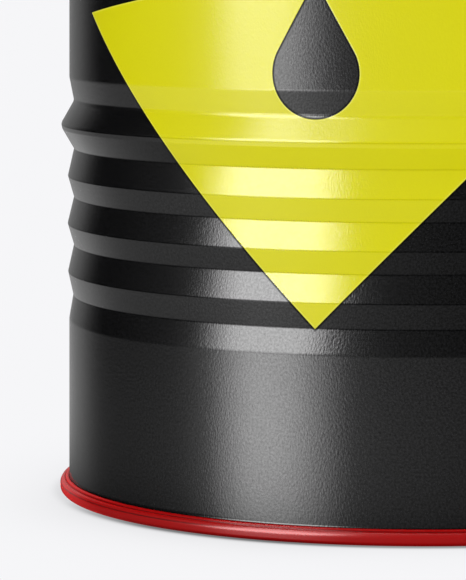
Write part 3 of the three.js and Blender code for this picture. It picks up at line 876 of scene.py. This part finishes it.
# tall soft box at the left, with softer sides low down
box_lo = g.math("MULTIPLY", g.step(phi, 22.5, 49.0), g.step(phi, 75.0, 54.0))
box_mid = g.math("MULTIPLY", g.step(phi, 28.5, 47.5), g.step(phi, 73.5, 60.0))
box_hi = g.math("MULTIPLY", g.fmix(g.step(elev, 12.0, 16.0), g.step(phi, 28.0, 41.0), g.step(phi, 23.5, 38.0)), g.step(phi, 77.2, 60.2))
box_p = g.fmix(g.step(elev, 0.0, 9.0), g.fmix(g.step(elev, -5.0, -3.0), box_lo, box_mid), box_hi)
box_e = curve(g, elev, [(-90, 0.0), (-40, 0.05), (-33, 0.2), (-26, 0.7), (-20, 1.4), (-16, 2.8), (-12, 5.6), (-9, 7.0), (-7, 7.4), (-4.5, 5.6), (-2.5, 3.5),
                        (-1, 6.0), (3, 7.4), (8, 9.4), (13, 10.5), (18, 10.8), (23, 9.9), (32, 9.8), (40, 8.6), (48, 5.7), (52, 3.3), (55, 1.7), (60, 0.7), (70, 0.3), (90, 0.0)], top=20.0)
light = g.math("ADD", light, g.math("MULTIPLY", box_p, box_e))
# glow round it
glow_p = curve(g, phi, [(-180, 0.1), (-12, 0.11), (3, 0.18), (12, 0.22), (20, 0.4), (28, 0.75), (76, 0.75), (80, 0.40), (87, 0.19), (95, 0.12), (105, 0.06), (115, 0.022), (128, 0.01), (180, 0.01)], -180, 180, 1.0)
glow_e = curve(g, elev, [(-90, 0.0), (-42, 0.0), (-35, 0.1), (-26, 0.5), (-10, 0.9), (0, 1.0), (25, 1.0), (40, 1.4), (57, 2.0), (70, 2.0), (90, 1.0)], top=2.0)
light = g.math("ADD", light, g.math("MULTIPLY", glow_p, glow_e))
# low front fill
fill_p = g.math("MULTIPLY", g.step(phi, 32.0, 14.0), g.step(phi, -110.0, -30.0))
fill_e = curve(g, elev, [(-90, 0.0), (-22, 0.1), (-14, 1.0), (-8, 1.0), (-4.5, 0.5), (-2, 0.3), (2, 0.0), (90, 0.0)], top=1.0)
light = g.math("ADD", light, g.math("MULTIPLY", g.math("MULTIPLY", fill_p, fill_e), 0.22))
# dim wall behind on the left
rim_p = g.step(g.math("SUBTRACT", phi, g.math("MULTIPLY", elev, 0.35)), 126.0, 150.0)
rim_e = curve(g, elev, [(-90, 0.0), (-25, 0.0), (-14, 0.5), (-8, 0.85), (-2, 1.0), (30, 1.0), (60, 0.6), (90, 0.3)], top=1.0)
light = g.math("ADD", light, g.math("MULTIPLY", g.math("MULTIPLY", rim_p, rim_e), 0.27))
# soft boxes that only the other views see: right front and right back
box_r = g.math("MULTIPLY", g.math("MULTIPLY", g.step(phi, -60.0, -66.0), g.step(phi, -92.0, -84.0)), curve(g, elev, [(-90, 0), (-24, 0.5), (-16, 3.0), (-4, 4.0), (10, 5.0), (38, 5.0), (46, 0.8), (90, 0.0)]))
light = g.math("ADD", light, box_r)
box_b = g.math("MULTIPLY", g.math("MULTIPLY", g.step(phi, -128.0, -134.0), g.step(phi, -166.0, -158.0)), curve(g, elev, [(-90, 0), (-24, 0.5), (-16, 3.5), (-4, 4.5), (10, 6.0), (38, 6.0), (46, 0.8), (90, 0.0)]))
light = g.math("ADD", light, box_b)
# soft ceiling, seen only by faces that look straight up
light = g.math("ADD", light, curve(g, elev, [(-90, 0), (66, 0.0), (78, 2.4), (90, 2.8)], top=3.0))
light = g.math("MULTIPLY", light, g.math("SUBTRACT", 1.0, g.math("MULTIPLY", g.math("MULTIPLY", g.step(elev, 44.0, 52.0, 0.0, 0.4), g.step(elev, 75.0, 66.0)), g.math("MULTIPLY", g.step(phi, 53.0, 44.0), g.step(phi, 14.0, 22.0)))))
light = g.math("ADD", light, 0.01)
g.link(light, go.inputs[0])


def studio_node(g, direction):
    n = g.add("ShaderNodeGroup", node_tree=studio)
    g.link(direction, n.inputs[0])
    return n.outputs[0]


# What glossy surfaces see of the floor: the same studio light, darker where the drum stands close.
mirror_mesh = bpy.data.meshes.new("floor_sheen")
mirror_mesh.from_pydata(fv, [], ff)
sheen = bpy.data.objects.new("floor_sheen", mirror_mesh)
bpy.context.scene.collection.objects.link(sheen)
sheen.location.z = -0.0004
sheen.visible_camera = False
sheen.visible_diffuse = False
sheen.visible_shadow = False
sheen.visible_transmission = False
sheen.visible_volume_scatter = False
msheen = bpy.data.materials.new("floor_sheen")
msheen.use_nodes = True
g = Nodes(msheen.node_tree)
out = g.add("ShaderNodeOutputMaterial")
geo, d, az = outside(g)
contact = curve(g, d, [(0, 0.10), (30, 0.38), (60, 0.52), (120, 0.68), (216, 0.84), (370, 0.95), (550, 1.0)], 0.0, 600.0, 1.0)
flip = g.vmath("MULTIPLY", geo.outputs["Incoming"], (-1.0, -1.0, -1.0))
em = g.add("ShaderNodeEmission")
g.put(em.inputs["Color"], (1, 1, 1, 1))
g.put(em.inputs["Strength"], g.math("MULTIPLY", studio_node(g, flip), contact))
g.link(em.outputs[0], out.inputs[0])
mirror_mesh.materials.append(msheen)

# ------------------------------------------------------------------ world
world = bpy.data.worlds.new("studio")
bpy.context.scene.world = world
world.use_nodes = True
world.cycles.sampling_method = "NONE"
g = Nodes(world.node_tree)
out = g.add("ShaderNodeOutputWorld")
tc = g.add("ShaderNodeTexCoord")
lp = g.add("ShaderNodeLightPath")
glossy = g.add("ShaderNodeBackground")
g.put(glossy.inputs["Color"], (1, 1, 1, 1)); g.put(glossy.inputs["Strength"], studio_node(g, tc.outputs["Generated"]))
even = g.add("ShaderNodeBackground")
g.put(even.inputs["Color"], (1, 1, 1, 1))
g.put(even.inputs["Strength"], 1.0)
seen = g.add("ShaderNodeBackground")
g.put(seen.inputs["Color"], (*PALE, 1)); g.put(seen.inputs["Strength"], 1.0)
m1 = g.add("ShaderNodeMixShader"); g.link(lp.outputs["Is Glossy Ray"], m1.inputs[0]); g.link(even.outputs[0], m1.inputs[1]); g.link(glossy.outputs[0], m1.inputs[2])
m2 = g.add("ShaderNodeMixShader"); g.link(lp.outputs["Is Camera Ray"], m2.inputs[0]); g.link(m1.outputs[0], m2.inputs[1]); g.link(seen.outputs[0], m2.inputs[2])
g.link(m2.outputs[0], out.inputs[0])

# ------------------------------------------------------------------ camera
CAM = Vector((0.0, -2.8382, 0.4455))
cam_data = bpy.data.cameras.new("camera")
cam = bpy.data.objects.new("camera", cam_data)
bpy.context.scene.collection.objects.link(cam)
cam.location = CAM
cam.rotation_euler = (math.radians(90), 0, 0)
cam_data.sensor_width = 36.0
cam_data.lens = 3536.21 / 580 * 36.0
cam_data.clip_start, cam_data.clip_end = 0.05, 1000
bpy.context.scene.camera = cam
SHIFT = (-(428.456 - 233.0) / 580, -(290.0 + 72.096) / 580)
# The lens shift belongs to this viewpoint only: each driver's curve takes it off when the camera's distance from the floor's middle changes.
HERE = (CAM - floor.location).length
for path, value in (("shift_x", SHIFT[0]), ("shift_y", SHIFT[1])):
    setattr(cam_data, path, value)
    fc = cam_data.driver_add(path)
    fc.driver.type = "SUM"
    v = fc.driver.variables.new()
    v.name = "away"
    v.type = "LOC_DIFF"
    v.targets[0].id = cam
    v.targets[1].id = floor
    for m in list(fc.modifiers):
        fc.modifiers.remove(m)
    stops = [(0.0, 0.0), (HERE - 0.1, 0.0), (HERE - 0.04, value), (HERE + 0.04, value), (HERE + 0.1, 0.0), (1000.0, 0.0)]
    fc.keyframe_points.clear()
    fc.keyframe_points.add(len(stops))
    for k, (away, shift) in zip(fc.keyframe_points, stops):
        k.co = (away, shift)
        k.interpolation = "LINEAR"
    fc.update()

sc = bpy.context.scene
sc.view_settings.view_transform = "Standard"
sc.view_settings.look = "None"
sc.view_settings.exposure = 0.0
sc.view_settings.gamma = 1.0
sc.cycles.use_denoising = True
sc.cycles.denoiser = "OPENIMAGEDENOISE"
sc.cycles.max_bounces = 8
sc.cycles.diffuse_bounces = 3
sc.cycles.glossy_bounces = 5
sc.cycles.sample_clamp_indirect = 10.0
sc.cycles.seed = 3

bpy.context.view_layer.update()
